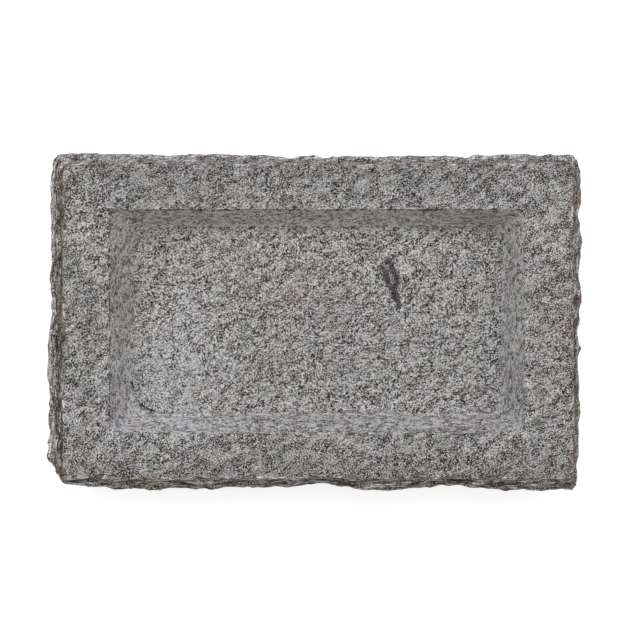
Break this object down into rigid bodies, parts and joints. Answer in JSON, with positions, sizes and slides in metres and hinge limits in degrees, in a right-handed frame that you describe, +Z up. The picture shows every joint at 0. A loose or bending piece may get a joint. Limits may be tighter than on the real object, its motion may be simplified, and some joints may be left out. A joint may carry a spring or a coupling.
{
  "type": "bird bath",
  "caption": "Low rectangular granite block with split sides, a flat rim and a shallow rectangular basin with sloping walls for water.",
  "frame": {"origin": "under the middle of the block's outline, on the surface that it rests on", "axes": "+X from left to right along the long side, +Y from front to back, +Z up out of the basin"},
  "size_m": [0.4, 0.252, 0.08],
  "materials": {
    "granite": "matte"
  },
  "bodies": {
    "root": {"granite_block": "granite"}
  },
  "joints": []
}
